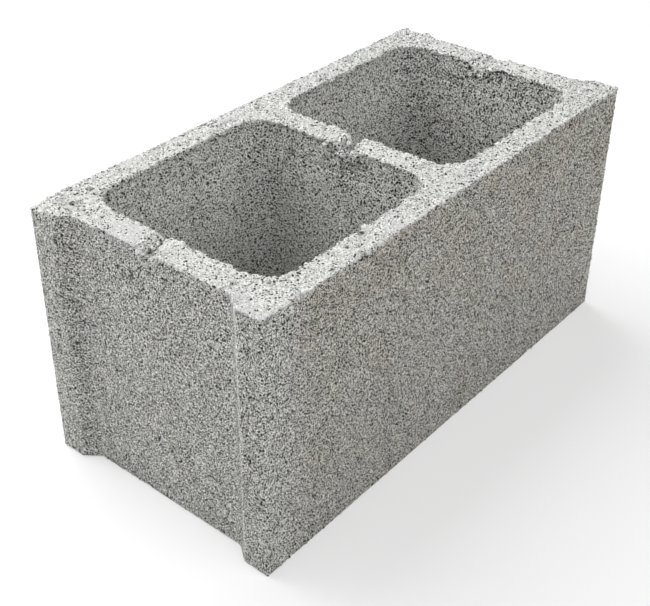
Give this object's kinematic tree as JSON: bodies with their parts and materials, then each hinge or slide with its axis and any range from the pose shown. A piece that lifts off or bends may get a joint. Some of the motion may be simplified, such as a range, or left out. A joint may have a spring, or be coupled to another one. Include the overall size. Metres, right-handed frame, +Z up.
{
  "type": "hollow concrete block",
  "caption": "Rectangular hollow concrete block with open tapered cells, flanged ends and rough cast faces, for mortared walls.",
  "frame": {"origin": "middle of the bed, the face that the block stands on", "axes": "+X along the length, +Y through the wall from one face shell to the other, +Z up, as moulded"},
  "size_m": [0.39, 0.19, 0.19],
  "materials": {
    "concrete": "dry-cast, open-grained, matt"
  },
  "bodies": {
    "root": {"concrete_block": "concrete"}
  },
  "joints": []
}
